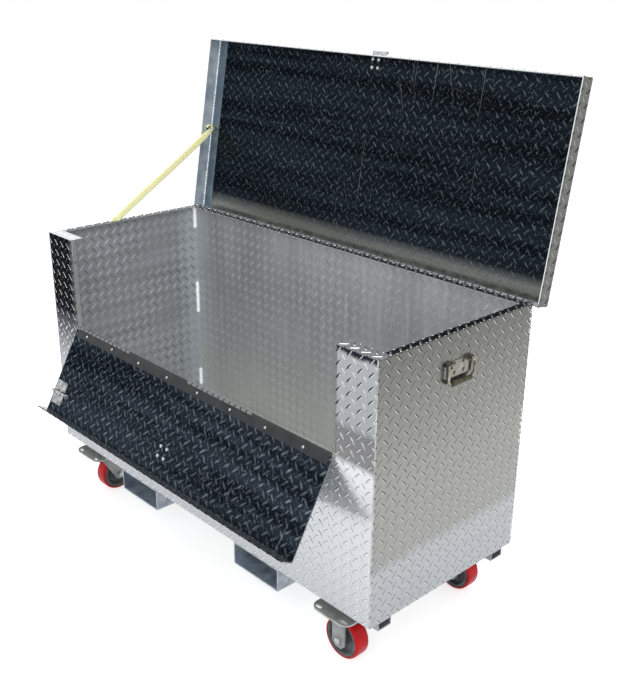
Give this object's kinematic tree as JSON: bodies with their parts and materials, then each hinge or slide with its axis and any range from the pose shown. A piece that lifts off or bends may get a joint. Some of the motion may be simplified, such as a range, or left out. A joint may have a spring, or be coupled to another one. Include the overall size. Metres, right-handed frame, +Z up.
{
  "type": "jobsite storage box",
  "caption": "Long tread-plate jobsite storage box on casters, with a hinged lid held by a strap, a drop-down front door, a padlock hasp, side handles and fork pockets.",
  "frame": {"origin": "Middle of the bounding box on the floor that the wheels stand on, with the lid and the door open", "axes": "+Z up; -Y towards the drop door at the front; +X towards the right end seen from the front, the end with the rigid casters"},
  "size_m": [1.576, 0.9658, 1.5555],
  "materials": {
    "tread_plate": "satin",
    "frame_metal": "satin",
    "hardware": "satin",
    "caster_steel": "satin",
    "wheel_core": "matte",
    "wheel_tread": "satin",
    "webbing": "matte",
    "grip": "matte"
  },
  "bodies": {
    "box": {"front_wall": "tread_plate", "back_wall": "tread_plate", "right_wall": "tread_plate", "left_wall": "tread_plate", "floor_plate": "tread_plate", "front_rails": "frame_metal", "rear_rails": "frame_metal", "left_fork_pocket": "frame_metal", "right_fork_pocket": "frame_metal", "lid_strap": "webbing", "strap_anchor": "hardware", "lid_hinge_lower_leaf": "hardware", "lid_hinge_pin": "hardware", "door_hinge_lower_leaf": "hardware", "door_hinge_pin": "hardware", "left_handle_plate": "hardware", "right_handle_plate": "hardware", "handle_bolts": "hardware", "front_left_caster_plate": "caster_steel", "front_left_kingpin": "caster_steel", "front_right_caster_plate": "caster_steel", "front_right_caster_fork": "caster_steel", "front_right_axle_bolt": "caster_steel", "rear_left_caster_plate": "caster_steel", "rear_left_kingpin": "caster_steel", "rear_right_caster_plate": "caster_steel", "rear_right_caster_fork": "caster_steel", "rear_right_axle_bolt": "caster_steel"},
    "lid": {"lid_pan": "tread_plate", "lid_hinge_upper_leaf": "hardware", "hasp_leaf": "hardware", "hasp_bolts": "hardware", "hasp_pin": "hardware", "strap_ring": "hardware"},
    "door": {"door_panel": "tread_plate", "door_hinge_upper_leaf": "hardware", "door_staple": "hardware", "staple_bolts": "hardware", "slide_bolt_plate": "hardware"},
    "slide_bolt": {"slide_bolt": "hardware"},
    "hasp_strap": {"hasp_strap": "hardware"},
    "right_bail": {"right_handle_bail": "hardware", "right_handle_grip": "grip"},
    "left_bail": {"left_handle_bail": "hardware", "left_handle_grip": "grip"},
    "front_left_swivel": {"front_left_caster_fork": "caster_steel", "front_left_axle_bolt": "caster_steel"},
    "front_left_wheel": {"front_left_wheel_core": "wheel_core", "front_left_tyre": "wheel_tread"},
    "front_right_wheel": {"front_right_wheel_core": "wheel_core", "front_right_tyre": "wheel_tread"},
    "rear_left_swivel": {"rear_left_caster_fork": "caster_steel", "rear_left_axle_bolt": "caster_steel"},
    "rear_left_wheel": {"rear_left_wheel_core": "wheel_core", "rear_left_tyre": "wheel_tread"},
    "rear_right_wheel": {"rear_right_wheel_core": "wheel_core", "rear_right_tyre": "wheel_tread"}
  },
  "joints": [
    {"name": "lid_hinge", "type": "hinge", "parent": "box", "child": "lid", "pos_m": [0, 0.31223, 0.953], "axis": [1, 0, 0], "range_deg": [0, 99.9], "deforming": ["lid_strap"]},
    {"name": "door_hinge", "type": "hinge", "parent": "box", "child": "door", "pos_m": [0, -0.30427, 0.648], "axis": [-1, 0, 0], "range_deg": [0, 151]},
    {"name": "hasp_hinge", "type": "hinge", "parent": "lid", "child": "hasp_strap", "pos_m": [0.012, 0.47742, 1.5505], "axis": [1, 0, 0], "range_deg": [-4, 255.64]},
    {"name": "slide_bolt_slide", "type": "slide", "parent": "door", "child": "slide_bolt", "axis": [-1, 0, 0], "range_m": [0, 0.02]},
    {"name": "right_handle_pivot", "type": "hinge", "parent": "box", "child": "right_bail", "pos_m": [0.781, 0.00023, 0.869], "axis": [0, -1, 0], "range_deg": [0, 90]},
    {"name": "left_handle_pivot", "type": "hinge", "parent": "box", "child": "left_bail", "pos_m": [-0.781, 0.00023, 0.869], "axis": [0, 1, 0], "range_deg": [0, 90]},
    {"name": "front_left_swivel", "type": "hinge", "parent": "box", "child": "front_left_swivel", "pos_m": [-0.62, -0.24577, 0.16], "axis": [0, 0, 1], "continuous": true},
    {"name": "front_left_wheel_spin", "type": "hinge", "parent": "front_left_swivel", "child": "front_left_wheel", "pos_m": [-0.62, -0.20977, 0.0635], "axis": [1, 0, 0], "continuous": true},
    {"name": "front_right_wheel_spin", "type": "hinge", "parent": "box", "child": "front_right_wheel", "pos_m": [0.632, -0.24577, 0.0635], "axis": [0, 1, 0], "continuous": true},
    {"name": "rear_left_swivel", "type": "hinge", "parent": "box", "child": "rear_left_swivel", "pos_m": [-0.62, 0.23923, 0.16], "axis": [0, 0, 1], "continuous": true},
    {"name": "rear_left_wheel_spin", "type": "hinge", "parent": "rear_left_swivel", "child": "rear_left_wheel", "pos_m": [-0.62, 0.27523, 0.0635], "axis": [1, 0, 0], "continuous": true},
    {"name": "rear_right_wheel_spin", "type": "hinge", "parent": "box", "child": "rear_right_wheel", "pos_m": [0.632, 0.23923, 0.0635], "axis": [0, 1, 0], "continuous": true}
  ]
}
